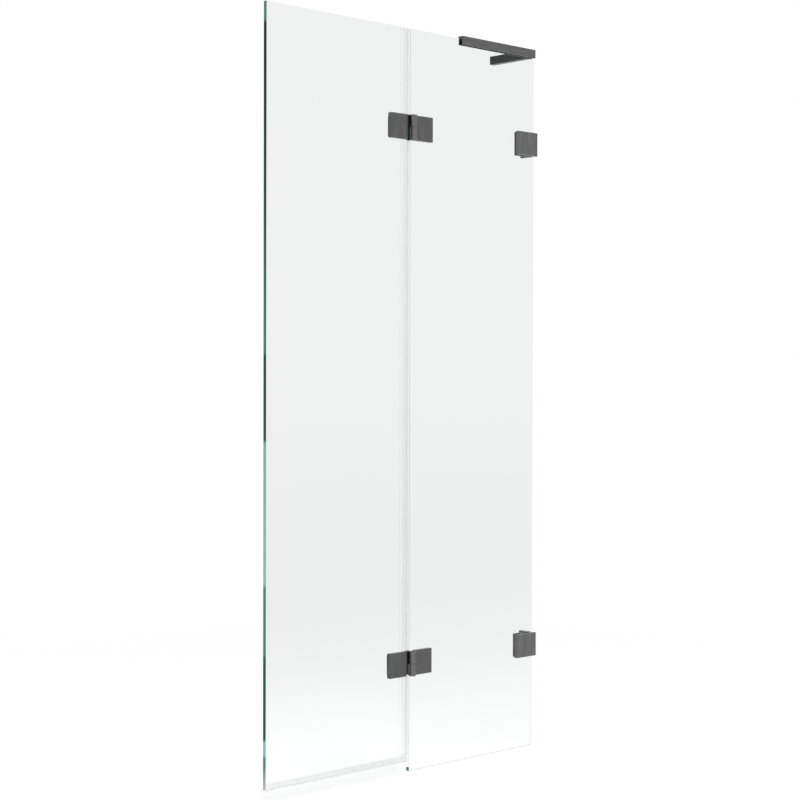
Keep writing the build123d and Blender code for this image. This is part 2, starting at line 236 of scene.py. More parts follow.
class SealSettings(bpy.types.PropertyGroup):
    """Looks of the clear seals and colours of the soft parts."""

    clear: colour_setting(
        "Back leg", "Tint of the seal's leg behind the glass", (0.99, 0.992, 0.991)
    )
    front: colour_setting(
        "Front leg", "Tint of the seal's leg in front of the glass", (0.93, 0.934, 0.932)
    )
    foot: colour_setting("Foot seal", "Tint of the seal along the foot", (0.92, 0.923, 0.922))
    line_width: length_setting(
        "Line width", "Distance between drawing lines", 0.0014, 0.0001, 0.01
    )
    line_length: length_setting("Line length", "Length of a drawing line", 2.0, 0.001, 10.0)
    milky: colour_setting("Soft seal", "Colour of the seal's soft milky bulb", (0.97, 0.98, 0.975))
    roughness: number_setting(
        "Seal roughness", "How far the clear seals blur what is behind them", 0.02, 0.0, 1.0
    )
    ior: number_setting("IOR", "How strongly the seals bend and mirror light", 1.04, 1.0, 2.0)
    rubber: colour_setting(
        "Rubber", "Colour of the gaskets and the channel liner", (0.018, 0.018, 0.019)
    )
    nylon: colour_setting("Nylon", "Colour of the sleeves and bushes", (0.055, 0.055, 0.058))


class StageSettings(bpy.types.PropertyGroup):
    """Camera, lamps and floor."""

    camera_place: FloatVectorProperty(
        name="Camera place",
        description="Where the camera stands",
        default=(-2.6413, -2.5223, 0.7987),
        subtype="TRANSLATION",
        unit="LENGTH",
    )
    azimuth: angle_setting("Azimuth", "Way the camera looks: 0 is along +Y", math.radians(-43.953))
    pitch: angle_setting("Pitch", "How far the camera looks up", math.radians(-0.768))
    roll: angle_setting("Roll", "How far the camera leans", math.radians(0.131))
    lens: FloatProperty(
        name="Lens",
        description="Focal length on a 36 mm sensor",
        default=78.353,
        unit="CAMERA",
        min=10.0,
        max=300.0,
    )
    floor_colour: colour_setting("Floor", "Colour of the floor", (0.86, 0.86, 0.86))
    floor_size: length_setting("Floor size", "Side of the square floor", 60.0, 4.0, 100.0)
    key_power: power_setting("Key lamp", "Power of the large lamp high in front", 90.0)
    fill_power: power_setting("Fill lamp", "Power of the large lamp high on the left", 40.0)
    room_light: number_setting(
        "Room light", "Strength of the even light from all round", 0.75, 0.0, 2.0
    )
    dark_side: number_setting(
        "Dark side", "What metal mirrors from behind on the left, as a share of the white",
        0.5, 0.0, 1.0,
    )


# Materials


def blank_material(name):
    """A node material with only its output, and the calls that add to it."""
    material = bpy.data.materials.get(name)
    if material is None:
        material = bpy.data.materials.new(name)
    material.use_nodes = True
    tree = material.node_tree
    tree.nodes.clear()
    output = tree.nodes.new("ShaderNodeOutputMaterial")
    return material, tree, output


def add_node(tree, kind, **inputs):
    """A node with some of its inputs set by name."""
    node = tree.nodes.new(kind)
    for name, value in inputs.items():
        node.inputs[name.replace("_", " ")].default_value = value
    return node


def rgba(colour):
    """A colour with full alpha."""
    return (*colour, 1.0)


def dimmed(colour, share):
    """A colour times a share."""
    return [c * share for c in colour]


def place_on_piece(tree, scale):
    """Object coordinates stretched by a scale along each axis."""
    where = tree.nodes.new("ShaderNodeTexCoord")
    mapping = add_node(tree, "ShaderNodeMapping", Scale=scale)
    tree.links.new(where.outputs["Object"], mapping.inputs["Vector"])
    return mapping.outputs["Vector"]


def stretched(tree, along, width, length):
    """Object coordinates for lines of a width and a length along one axis."""
    scale = [1.0 / width] * 3
    scale[along] = 1.0 / length
    return place_on_piece(tree, scale)


def noise(tree, vector, scale, detail=2.0):
    """A noise pattern's value."""
    node = add_node(tree, "ShaderNodeTexNoise", Scale=scale, Detail=detail)
    tree.links.new(vector, node.inputs["Vector"])
    return node.outputs["Fac"]


def ramp(tree, value, stops):
    """Colours at places along a value from 0 to 1."""
    node = tree.nodes.new("ShaderNodeValToRGB")
    elements = node.color_ramp.elements
    while len(elements) < len(stops):
        elements.new(1.0)
    for element, (place, colour) in zip(elements, stops):
        element.position = place
        element.color = rgba(colour)
    tree.links.new(value, node.inputs["Fac"])
    return node.outputs["Color"]


def two_tones(tree, value, low, high):
    """Two colours that a pattern goes between."""
    return ramp(tree, value, ((0.3, low), (0.7, high)))


def mixed(tree, blend, factor, first, second):
    """A mix of two colours, by a number or a socket."""
    node = tree.nodes.new("ShaderNodeMix")
    node.data_type = "RGBA"
    node.blend_type = blend
    for name, value in (("Factor", factor), ("A", first), ("B", second)):
        if isinstance(value, bpy.types.NodeSocket):
            tree.links.new(value, node.inputs[name])
        else:
            node.inputs[name].default_value = value
    return node.outputs["Result"]


def share_between(tree, value, low, high):
    """0 where a value is at one number and 1 where it is at another."""
    node = add_node(tree, "ShaderNodeMapRange", From_Min=low, From_Max=high)
    tree.links.new(value, node.inputs["Value"])
    return node.outputs["Result"]


def spread(tree, value, low, high):
    """A value from 0 to 1 spread between two numbers."""
    node = add_node(tree, "ShaderNodeMapRange", To_Min=low, To_Max=high)
    tree.links.new(value, node.inputs["Value"])
    return node.outputs["Result"]


def bump(tree, value, depth):
    """A normal that a pattern raises by a depth in metres."""
    node = add_node(tree, "ShaderNodeBump", Distance=depth, Strength=1.0)
    tree.links.new(value, node.inputs["Height"])
    return node.outputs["Normal"]


def object_axis(tree, axis):
    """One of the object coordinates: X, Y or Z."""
    where = tree.nodes.new("ShaderNodeTexCoord")
    split = tree.nodes.new("ShaderNodeSeparateXYZ")
    tree.links.new(where.outputs["Object"], split.inputs["Vector"])
    return split.outputs[axis]


def height_share(tree, low, high):
    """0 at one height above the floor and 1 at another."""
    return share_between(tree, object_axis(tree, "Z"), low, high)


def math_node(tree, operation, *values):
    """The result of a sum on numbers and sockets."""
    node = tree.nodes.new("ShaderNodeMath")
    node.operation = operation
    for socket, value in zip(node.inputs, values):
        if isinstance(value, bpy.types.NodeSocket):
            tree.links.new(value, socket)
        else:
            socket.default_value = value
    return node.outputs["Value"]


def within(tree, value, low, high):
    """1 where a value lies between two numbers and 0 elsewhere."""
    return math_node(tree, "COMPARE", value, (low + high) / 2, (high - low) / 2)


def seam_masks(tree):
    """Two masks of the edges between the panes: behind the seal, and between hinge leaves, where
    the edge is painted dark from both sides as painted shade in the gap.
    """
    x, z = object_axis(tree, "X"), object_axis(tree, "Z")
    seam = (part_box("fixed_glass")[0].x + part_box("moving_glass")[1].x) / 2
    reach, foot = 0.006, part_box("foot_seal")[0].z + 0.002
    near = within(tree, x, seam - reach, seam + reach)
    above = math_node(tree, "GREATER_THAN", z, foot)
    gap_painted_shade = None
    for place in PLACES:
        low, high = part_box(f"{place}_hinge_moving_leaf")
        band = within(tree, z, low.z, high.z)
        gap_painted_shade = band if gap_painted_shade is None else math_node(tree, "MAXIMUM", gap_painted_shade, band)
    gap_painted_shade = math_node(tree, "MULTIPLY", near, gap_painted_shade)
    sealed = math_node(tree, "SUBTRACT", math_node(tree, "MULTIPLY", near, above), gap_painted_shade)
    return math_node(tree, "MAXIMUM", sealed, 0.0), gap_painted_shade


def mix_shaders(tree, factor, first, second):
    """A mix of two shaders."""
    mix = tree.nodes.new("ShaderNodeMixShader")
    tree.links.new(factor, mix.inputs["Fac"])
    tree.links.new(first, mix.inputs[1])
    tree.links.new(second, mix.inputs[2])
    return mix.outputs["Shader"]


def let_lamps_through(tree, surface, colour, output):
    """Shows a clear surface as it is, and lets lamps shine through it in its tint."""
    path = tree.nodes.new("ShaderNodeLightPath")
    clear = add_node(tree, "ShaderNodeBsdfTransparent", Color=rgba(colour))
    shade = mix_shaders(tree, path.outputs["Is Shadow Ray"], surface, clear.outputs["BSDF"])
    tree.links.new(shade, output.inputs["Surface"])


def glass_face(settings):
    """Clear toughened glass with painted light: its tint is lighter towards the foot and has a
    darker band of painted shade partway up.
    """
    material, tree, output = blank_material("clear_glass")
    shader = add_node(
        tree,
        "ShaderNodeBsdfPrincipled",
        Roughness=0.0,
        IOR=settings.ior,
        Transmission_Weight=1.0,
    )
    # Painted light and shade in the tint: lighter at the foot, darker between 0.43 and 0.58 of the
    # ramp.
    painted_shade_tint = dimmed(settings.tint, 0.965)
    stops = ((0.0, settings.foot_painted_light_tint), (0.43, painted_shade_tint), (0.58, painted_shade_tint), (1.0, settings.tint))
    colour = ramp(tree, height_share(tree, 0.03, 0.80), stops)
    tree.links.new(colour, shader.inputs["Base Color"])
    let_lamps_through(tree, shader.outputs["BSDF"], settings.tint, output)
    return material


def glass_edge(settings):
    """Polished green edge with painted reflections: light and dark bands along the height stand in
    for the reflections and long light paths in the pane.
    """
    material, tree, output = blank_material("polished_glass_edge")
    deep, dark_reflection = settings.edge_deep, settings.edge_dark_reflection
    middle, pale = settings.edge_mid, settings.edge_bright_reflection
    # Painted reflections: the bands by height paint light and shade into the edge's green.
    bands = (
        (0.000, middle),
        (0.054, middle),
        (0.058, pale),
        (0.074, pale),
        (0.078, dark_reflection),
        (0.180, dark_reflection),
        (0.184, middle),
        (0.268, middle),
        (0.273, pale),
        (0.448, dimmed(pale, 0.85)),
        (0.453, dark_reflection),
        (0.558, dark_reflection),
        (0.563, middle),
        (0.750, dark_reflection),
        (0.930, deep),
        (0.973, deep),
        (0.977, middle),
    )
    colour = ramp(tree, height_share(tree, 0.0, 1.5), bands)
    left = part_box("moving_glass")[0].x
    beside = within(tree, object_axis(tree, "X"), left - OVERLAP, left + OVERLAP)
    fade = math_node(tree, "MULTIPLY", height_share(tree, 0.065, 0.024), beside)
    colour = mixed(tree, "MIX", fade, colour, rgba(settings.edge_foot))
    grain = noise(tree, place_on_piece(tree, EVEN), EDGE_GRAIN)
    colour = mixed(tree, "MULTIPLY", 1.0, colour, spread(tree, grain, 0.88, 1.12))
    polished = add_node(
        tree, "ShaderNodeBsdfPrincipled", Roughness=0.12, IOR=1.5, Specular_IOR_Level=0.1
    )
    tree.links.new(colour, polished.inputs["Base Color"])
    inside = add_node(
        tree,
        "ShaderNodeBsdfPrincipled",
        Base_Color=rgba(settings.tint),
        Roughness=0.0,
        IOR=settings.ior,
        Transmission_Weight=1.0,
    )
    side = tree.nodes.new("ShaderNodeNewGeometry")
    sealed, gap_painted_shade = seam_masks(tree)
    clear = math_node(tree, "MAXIMUM", side.outputs["Backfacing"], sealed)
    # Between the hinge leaves the edge stays painted seen from inside too: painted shade that
    # darkens the gap.
    clear = math_node(tree, "MAXIMUM", math_node(tree, "SUBTRACT", clear, gap_painted_shade), 0.0)
    shade = mix_shaders(tree, clear, polished.outputs["BSDF"], inside.outputs["BSDF"])
    tree.links.new(shade, output.inputs["Surface"])
    return material


def ground_arris(settings):
    """The fine ground bevel round a pane: matt outside, and clear seen from inside the glass."""
    material, tree, output = blank_material("ground_glass_arris")
    grain = noise(tree, place_on_piece(tree, EVEN), ARRIS_GRAIN)
    colour = two_tones(tree, grain, dimmed(settings.ground, 0.9), settings.ground)
    matt = add_node(tree, "ShaderNodeBsdfPrincipled", Roughness=0.6, Specular_IOR_Level=0.3)
    tree.links.new(colour, matt.inputs["Base Color"])
    clear = add_node(tree, "ShaderNodeBsdfTransparent", Color=rgba(settings.foot_painted_light_tint))
    side = tree.nodes.new("ShaderNodeNewGeometry")
    shade = mix_shaders(
        tree, side.outputs["Backfacing"], matt.outputs["BSDF"], clear.outputs["BSDF"]
    )
    tree.links.new(shade, output.inputs["Surface"])
    return material


def shaded_arris(settings):
    """The arris in the seam, dark green as it catches no lamp."""
    material, tree, output = blank_material("shaded_glass_arris")
    grain = noise(tree, place_on_piece(tree, EVEN), EDGE_GRAIN)
    colour = two_tones(tree, grain, dimmed(settings.edge_mid, 0.9), settings.edge_mid)
    shader = add_node(tree, "ShaderNodeBsdfPrincipled", Roughness=0.3, Specular_IOR_Level=0.1)
    tree.links.new(colour, shader.inputs["Base Color"])
    tree.links.new(shader.outputs["BSDF"], output.inputs["Surface"])
    return material


def brushed_gunmetal(settings, name, along, painted_light_share=1.0):
    """Gunmetal brushed along one axis: 0, 1 or 2. The last share scales its colour: above 1 for a
    copy with painted light, below 1 for a copy with painted shade.
    """
    material, tree, output = blank_material(name)
    spots = stretched(tree, along, settings.line_width, settings.line_length)
    lines = noise(tree, spots, 1.0, 3.0)
    spots = stretched(tree, along, settings.streak_width, settings.streak_length)
    streaks = noise(tree, spots, 1.0, 1.0)
    swing = settings.brush_contrast
    light = dimmed(settings.colour, painted_light_share * (1.0 + swing))
    dark = dimmed(settings.colour, painted_light_share * (1.0 - swing))
    brushed = ramp(tree, lines, ((0.28, dark), (0.72, light)))
    swing = settings.streak_contrast
    broad = spread(tree, streaks, 1.0 - swing, 1.0 + swing)
    shader = add_node(tree, "ShaderNodeBsdfPrincipled", Metallic=1.0)
    rough = settings.roughness
    tree.links.new(mixed(tree, "MULTIPLY", 1.0, brushed, broad), shader.inputs["Base Color"])
    tree.links.new(spread(tree, lines, rough + 0.1, rough - 0.1), shader.inputs["Roughness"])
    tree.links.new(bump(tree, lines, 0.00002), shader.inputs["Normal"])
    tree.links.new(shader.outputs["BSDF"], output.inputs["Surface"])
    return material


def plain_steel(settings):
    """Turned stainless steel with fine marks."""
    material, tree, output = blank_material("turned_steel")
    marks = noise(tree, place_on_piece(tree, [STEEL_GRAIN] * 3), 1.0)
    colour = two_tones(tree, marks, dimmed(settings.steel, 0.85), settings.steel)
    shader = add_node(tree, "ShaderNodeBsdfPrincipled", Metallic=1.0)
    tree.links.new(colour, shader.inputs["Base Color"])
    tree.links.new(spread(tree, marks, 0.22, 0.4), shader.inputs["Roughness"])
    tree.links.new(shader.outputs["BSDF"], output.inputs["Surface"])
    return material


def drawn_seal(settings, name, along, tint, clearness, rough):
    """Flexible extrusion with faint drawing lines along one axis: 0, 1 or 2."""
    material, tree, output = blank_material(name)
    spots = stretched(tree, along, settings.line_width, settings.line_length)
    lines = noise(tree, spots, 1.0)
    shader = add_node(
        tree,
        "ShaderNodeBsdfPrincipled",
        IOR=settings.ior,
        Transmission_Weight=clearness,
        Roughness=rough,
    )
    colour = two_tones(tree, lines, dimmed(tint, 0.99), tint)
    tree.links.new(colour, shader.inputs["Base Color"])
    let_lamps_through(tree, shader.outputs["BSDF"], tint, output)
    return material


def soft_plastic(name, colour, rough):
    """Dull rubber or plastic with a fine grain."""
    material, tree, output = blank_material(name)
    grain = noise(tree, place_on_piece(tree, EVEN), PLASTIC_GRAIN, 3.0)
    tone = two_tones(tree, grain, dimmed(colour, 0.8), colour)
    shader = tree.nodes.new("ShaderNodeBsdfPrincipled")
    tree.links.new(tone, shader.inputs["Base Color"])
    tree.links.new(spread(tree, grain, rough - 0.08, rough + 0.08), shader.inputs["Roughness"])
    tree.links.new(bump(tree, grain, 0.00003), shader.inputs["Normal"])
    tree.links.new(shader.outputs["BSDF"], output.inputs["Surface"])
    return material


# Modelling helpers


def deselect():
    """Leaves nothing selected."""
    bpy.ops.object.select_all(action="DESELECT")


def pick(piece):
    """Makes one object the only one selected, and active."""
    deselect()
    piece.select_set(True)
    bpy.context.view_layer.objects.active = piece


def block(name, low, high):
    """A box between two corners, with its place in its mesh."""
    deselect()
    low, high = Vector(low), Vector(high)
    bpy.ops.mesh.primitive_cube_add(size=1.0, location=(low + high) / 2)
    piece = bpy.context.object
    piece.name = name
    piece.scale = high - low
    bpy.ops.object.transform_apply(location=True, rotation=True, scale=True)
    return piece


def use_modifier(piece, name, kind, **values):
    """Adds a modifier, sets it and applies it."""
    pick(piece)
    modifier = piece.modifiers.new(name, kind)
    for key, value in values.items():
        setattr(modifier, key, value)
    bpy.ops.object.modifier_apply(modifier=name)


def soften(piece, width, segments):
    """Rounds every sharp edge."""
    use_modifier(
        piece,
        "Soft edges",
        "BEVEL",
        width=width,
        segments=segments,
        limit_method="ANGLE",
        angle_limit=math.radians(40),
    )


def cut(piece, cutter):
    """Takes one solid out of another."""
    use_modifier(piece, "Cut", "BOOLEAN", operation="DIFFERENCE", solver="EXACT", object=cutter)
    bpy.data.objects.remove(cutter)


def unite(piece, other):
    """Adds one solid to another."""
    use_modifier(piece, "Unite", "BOOLEAN", operation="UNION", solver="EXACT", object=other)
    bpy.data.objects.remove(other)


def smooth(piece):
    """Smooths the curved faces and keeps the flat ones flat."""
    pick(piece)
    bpy.ops.object.shade_smooth_by_angle(angle=math.radians(32))
    use_modifier(piece, "Flat faces", "WEIGHTED_NORMAL", weight=100, keep_sharp=True)


def copied(piece, name, step):
    """A copy with its own mesh, moved by a step."""
    pick(piece)
    bpy.ops.object.duplicate()
    twin = bpy.context.object
    twin.name = name
    twin.location = step
    bpy.ops.object.transform_apply(location=True, rotation=True, scale=True)
    return twin


def round_solid(name, low, high, add, **sizes):
    """What an operator for round solids adds, between two points that differ along one axis."""
    deselect()
    low, high = Vector(low), Vector(high)
    line = high - low
    add(depth=line.length, location=(low + high) / 2, **sizes)
    piece = bpy.context.object
    piece.name = name
    piece.rotation_euler = line.to_track_quat("Z", "Y").to_euler()
    bpy.ops.object.transform_apply(location=True, rotation=True, scale=True)
    return piece


def rod(name, low, high, radius, sides=48):
    """A cylinder between two points."""
    add = bpy.ops.mesh.primitive_cylinder_add
    return round_solid(name, low, high, add, radius=radius, vertices=sides)


def cone(name, low, high, low_radius, high_radius, sides=48):
    """A cone's stump between two points."""
    add = bpy.ops.mesh.primitive_cone_add
    sizes = {"radius1": low_radius, "radius2": high_radius, "vertices": sides}
    return round_solid(name, low, high, add, **sizes)


def round_edges(piece, width, segments, chosen):
    """Bevels the edges whose two ends the chosen test accepts."""
    pick(piece)
    bpy.ops.object.mode_set(mode="EDIT")
    bpy.ops.mesh.select_mode(type="EDGE")
    bpy.ops.mesh.select_all(action="DESELECT")
    bpy.ops.object.mode_set(mode="OBJECT")
    points = piece.data.vertices
    for edge in piece.data.edges:
        edge.select = chosen(*(points[i].co for i in edge.vertices))
    bpy.ops.object.mode_set(mode="EDIT")
    bpy.ops.mesh.bevel(offset=width, segments=segments, affect="EDGES")
    bpy.ops.object.mode_set(mode="OBJECT")


def fits_height(height):
    """A test for edges that lie at one height."""
    return lambda *ends: all(abs(end.z - height) < SAME_PLACE for end in ends)


def stands_at(corner):
    """A test for upright edges that stand at one corner."""
    return lambda *ends: all((end.xy - corner).length < CORNER_REACH for end in ends)


def finish_piece(piece, materials, nodes, body):
    """Dresses a piece, hides the nodes that it stands for and says what it moves with."""
    piece.data.materials.clear()
    for material in materials:
        piece.data.materials.append(material)
    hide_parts(*nodes)
    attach(piece, body)


def finish_pair(piece, name, materials, body):
    """Names a lower piece, copies it to the upper fitting and finishes both."""
    twin = copied(piece, f"upper_{name}_made", (0.0, 0.0, FITTING_STEP))
    piece.name = f"lower_{name}_made"
    for one, place in ((piece, "lower"), (twin, "upper")):
        finish_piece(one, materials, [f"{place}_{name}"], body)


def dress_node(node, material):
    """Gives a CAD node a better material."""
    slots = NODES[node].data.materials
    slots.clear()
    slots.append(material)


# Panes


def sleeve_places(node):
    """Middle x, the two heights and the radius of a pair of sleeves."""
    low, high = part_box(node)
    radius = (high.x - low.x) / 2
    return (low.x + high.x) / 2, (low.z + radius, high.z - radius), radius


def pane(node, name, sleeve_nodes, settings):
    """A pane with ground arrises and a hole for each sleeve."""
    low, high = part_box(node)
    piece = block(name, low, high)
    soften(piece, settings.arris, 1)
    for sleeve_node in sleeve_nodes:
        x, heights, radius = sleeve_places(sleeve_node)
        for z in heights:
            cut(piece, rod("hole", (x, low.y * 2, z), (x, high.y * 2, z), radius + FREE_FIT))
    return piece


def mark_edges(piece):
    """Puts the second material on the edges and the left arrises, and the third on the others."""
    for face in piece.data.polygons:
        tilt = abs(face.normal.y)
        if tilt < 0.3 or tilt < 0.95 and face.normal.x < -0.3:
            face.material_index = 1
        else:
            face.material_index = 2 if tilt < 0.95 else 0


def mark_seam_arris(piece):
    """Puts the fourth material on the fixed pane's front arris at the seam."""
    for face in piece.data.polygons:
        if face.normal.x < -0.3 and face.normal.y < -0.3:
            face.material_index = 3


class SCREEN_OT_panes(bpy.types.Operator):
    """Model the two panes"""

    bl_idname = "screen.panes"
    bl_label = "Glass panes"

    def execute(self, context):
        settings = context.scene.screen_glass
        materials = (
            glass_face(settings),
            glass_edge(settings),
            ground_arris(settings),
            shaded_arris(settings),
        )
        hinge = [f"{p}_hinge_fixed_sleeves" for p in PLACES]
        clamps = [f"{p}_clamp_sleeves" for p in PLACES]
        outer = [f"{p}_hinge_moving_sleeves" for p in PLACES]
        for node, name, sleeves, body in (
            ("fixed_glass", "fixed_pane", hinge + clamps, FIXED),
            ("moving_glass", "moving_pane", outer, MOVING),
        ):
            piece = pane(node, name, sleeves, settings)
            finish_piece(piece, materials, [node], body)
            mark_edges(piece)
            if node == "fixed_glass":
                mark_seam_arris(piece)
        return {"FINISHED"}


# Metal


def leaf(node, side, settings, edge):
    """A hinge leaf with its web and half of the barrel. Side is -1 for moving, 1 for fixed."""
    low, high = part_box(node)
    radius = settings.knuckle_radius
    axis = Vector((high.x - radius if side < 0 else low.x + radius, low.y + radius, 0.0))
    far = low.x if side < 0 else high.x
    near = far - side * settings.leaf_width
    face = high.y - settings.plate_thick
    x_low, x_high = sorted((near, far))
    piece = block("leaf", (x_low, face, low.z), (x_high, high.y, high.z))
    soften(piece, edge, 3)
    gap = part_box(f"{node.split('_')[0]}_hinge_bush")[0].z
    span = (gap + OVERLAP, high.z) if side < 0 else (low.z, gap)
    web_low, web_high = sorted((near + side * OVERLAP, axis.x))
    web = block("web", (web_low, face + settings.web_drop, span[0]), (web_high, high.y, span[1]))
    unite(piece, web)
    barrel = rod("barrel", (axis.x, axis.y, span[0]), (axis.x, axis.y, span[1]), radius, 96)
    for height in span:
        round_edges(barrel, edge, 3, fits_height(height))
    unite(piece, barrel)
    return piece, axis, span


def mark_barrel(name, axis, radius):
    """Puts the second material, the gunmetal copy with painted highlight, on a leaf's barrel."""
    for face in bpy.data.objects[name].data.polygons:
        away = (face.center.xy - axis.xy).length
        face.material_index = 1 if abs(away - radius) < MARK_REACH else 0


def cap(node, edge):
    """A plug that closes a barrel, with a rounded rim and a shallow dish."""
    low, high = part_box(node)
    x, y = (low.x + high.x) / 2, (low.y + high.y) / 2
    radius = (high.x - low.x) / 2
    piece = rod(node, (x, y, low.z), (x, y, high.z), radius, 64)
    outer = high.z if "top" in node else low.z
    way = 1 if "top" in node else -1
    pick(piece)
    for face in piece.data.polygons:
        face.select = abs(face.center.z - outer) < SAME_PLACE and abs(face.normal.z) > 0.9
    bpy.ops.object.mode_set(mode="EDIT")
    bpy.ops.mesh.select_mode(type="FACE")
    bpy.ops.mesh.inset(thickness=radius * 0.45, depth=0.0)
    bpy.ops.transform.translate(value=(0, 0, -way * PLUG_DISH))
    bpy.ops.object.mode_set(mode="OBJECT")
    round_edges(piece, edge * 0.6, 2, fits_height(outer))
    return piece


def screw_holes(piece, x, back, heights, settings):
    """Cuts countersunk screw holes into a piece whose back face looks along +Y."""
    depth = settings.sink_radius - settings.hole_radius
    for z in heights:
        narrow, wide = settings.hole_radius, settings.sink_radius + FREE_FIT
        cut(piece, rod("hole", (x, 0.0, z), (x, back + REACH, z), narrow))
        cut(piece, cone("sink", (x, back - depth, z), (x, back + FREE_FIT, z), narrow, wide))


def two_heights(node, pitch):
    """Two heights a pitch apart about the middle of a node."""
    low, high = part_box(node)
    middle = (low.z + high.z) / 2
    return middle - pitch / 2, middle + pitch / 2


def sleeve_x(node):
    """The middle of a pair of screw sleeves."""
    low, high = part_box(node)
    return (low.x + high.x) / 2


class SCREEN_OT_hinges(bpy.types.Operator):
    """Model the hinges: leaves with barrels, caps and back plates"""

    bl_idname = "screen.hinges"
    bl_label = "Hinges"

    def execute(self, context):
        metal, sizes = context.scene.screen_metal, context.scene.screen_fittings
        material = brushed_gunmetal(metal, "gunmetal_brushed_upright", UPRIGHT)
        # Painted highlight: the barrel's gunmetal is a 1.3 times lighter copy.
        barrel_highlight = brushed_gunmetal(metal, "gunmetal_barrel_painted_highlight", UPRIGHT, 1.3)
        edge = metal.edge_round
        for side, word, body in ((-1, "moving", MOVING), (1, "fixed", FIXED)):
            node = f"lower_hinge_{word}_leaf"
            piece, axis, span = leaf(node, side, sizes, edge)
            end = "top" if side < 0 else "bottom"
            plug_low, plug_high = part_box(f"lower_hinge_{end}_plug")
            radius = (plug_high.x - plug_low.x) / 2 + CLOSE_FIT
            bore_low = plug_low.z - OVERLAP * (side > 0)
            bore_high = plug_high.z + OVERLAP * (side < 0)
            ends = ((axis.x, axis.y, bore_low), (axis.x, axis.y, bore_high))
            cut(piece, rod("bore", *ends, radius, 64))
            if side > 0:
                pin_low, pin_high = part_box("lower_hinge_pin")
                radius = (pin_high.x - pin_low.x) / 2 + CLOSE_FIT
            ends = ((axis.x, axis.y, span[0] - OVERLAP), (axis.x, axis.y, span[1] + OVERLAP))
            cut(piece, rod("shaft", *ends, radius))
            smooth(piece)
            finish_pair(piece, f"hinge_{word}_leaf", (material, barrel_highlight), body)
            for place in PLACES:
                mark_barrel(f"{place}_hinge_{word}_leaf_made", axis, sizes.knuckle_radius)
            plate_node = f"lower_hinge_{word}_back_plate"
            low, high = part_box(plate_node)
            plate = block("plate", low, high)
            soften(plate, edge, 3)
            heights = two_heights(plate_node, sizes.screw_pitch)
            x = sleeve_x(f"lower_hinge_{word}_sleeves")
            screw_holes(plate, x, high.y, heights, sizes)
            smooth(plate)
            finish_pair(plate, f"hinge_{word}_back_plate", (material,), body)
            plug = cap(f"lower_hinge_{end}_plug", edge)
            smooth(plug)
            finish_pair(plug, f"hinge_{end}_plug", (material,), body)
        return {"FINISHED"}


class SCREEN_OT_clamps(bpy.types.Operator):
    """Model the wall clamps: front plates and angle brackets"""

    bl_idname = "screen.clamps"
    bl_label = "Wall clamps"

    def execute(self, context):
        metal, sizes = context.scene.screen_metal, context.scene.screen_fittings
        # Painted light: the clamps' gunmetal is a 1.25 times lighter copy.
        material = brushed_gunmetal(metal, "gunmetal_brushed_clamps_painted_light", UPRIGHT, 1.25)
        edge = metal.edge_round
        low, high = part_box("lower_clamp_plate")
        plate = block("plate", low, high)
        soften(plate, edge, 3)
        smooth(plate)
        low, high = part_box("lower_wall_bracket")
        wall_side = high.x - sizes.wall_leg_thick
        leg_back = low.y + sizes.leg_thick
        bracket = block("bracket", low, (high.x, leg_back, high.z))
        unite(bracket, block("leg", (wall_side, low.y, low.z), high))
        corner = Vector((wall_side, leg_back))
        round_edges(bracket, BRACKET_FILLET, 5, stands_at(corner))
        soften(bracket, edge, 2)
        heights = two_heights("lower_wall_bracket", sizes.screw_pitch)
        screw_holes(bracket, sleeve_x("lower_clamp_sleeves"), leg_back, heights, sizes)
        y = (leg_back + high.y) / 2
        narrow = sizes.hole_radius
        for z in two_heights("lower_wall_bracket", sizes.wall_hole_pitch):
            cut(bracket, rod("hole", (low.x, y, z), (high.x + OVERLAP, y, z), narrow))
            ends = ((wall_side - FREE_FIT, y, z), (wall_side + WALL_SINK_DEPTH, y, z))
            cut(bracket, cone("sink", *ends, WALL_SINK_RADIUS, narrow))
        smooth(bracket)
        for piece, name in ((plate, "clamp_plate"), (bracket, "wall_bracket")):
            finish_pair(piece, name, [material], FIXED)
        return {"FINISHED"}


